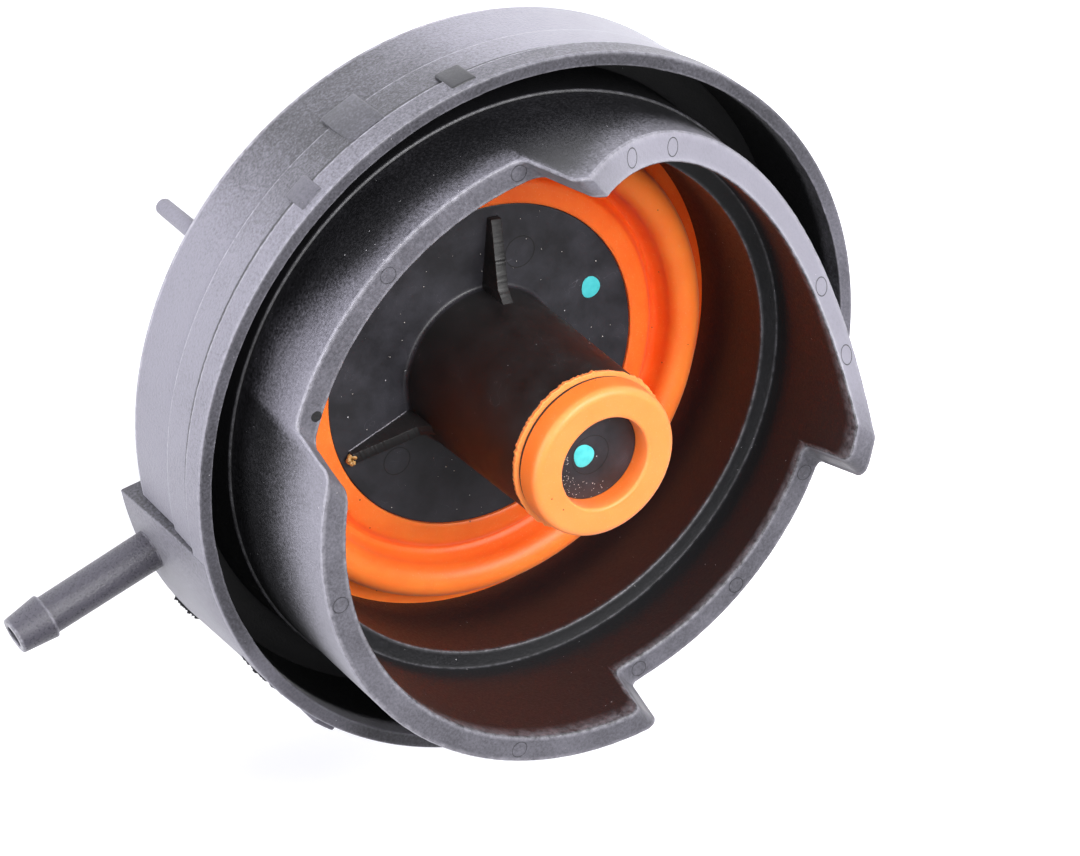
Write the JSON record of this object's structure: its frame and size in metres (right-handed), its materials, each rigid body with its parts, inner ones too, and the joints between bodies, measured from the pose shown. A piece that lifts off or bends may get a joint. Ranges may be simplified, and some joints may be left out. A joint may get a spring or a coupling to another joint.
{
  "type": "crankcase ventilation diaphragm valve cap",
  "caption": "Round plastic cap with an orange rubber diaphragm, a stemmed piston with a soft tip seal, a stepped inner cup and a small side hose nipple.",
  "frame": {"origin": "middle of the skirt's front rim, on the cap's axis", "axes": "+Z along the cap's axis out of its open side; +X through the middle of one low gap in the cup's rim"},
  "size_m": [0.08, 0.0938, 0.0397],
  "materials": {
    "cover_plastic": "grainy",
    "carrier_plastic": "grainy",
    "diaphragm_rubber": "satin",
    "piston_plastic": "smooth",
    "tip_rubber": "satin"
  },
  "bodies": {
    "housing": {"cover": "cover_plastic", "carrier": "carrier_plastic", "diaphragm": "diaphragm_rubber"},
    "valve": {"piston": "piston_plastic", "tip_seal": "tip_rubber"}
  },
  "joints": [
    {"name": "valve_slide", "type": "slide", "parent": "housing", "child": "valve", "axis": [0, 0, 1], "range_m": [-0.004, 0.003], "stiffness_N_per_m": 150, "deforming": ["diaphragm"]}
  ]
}
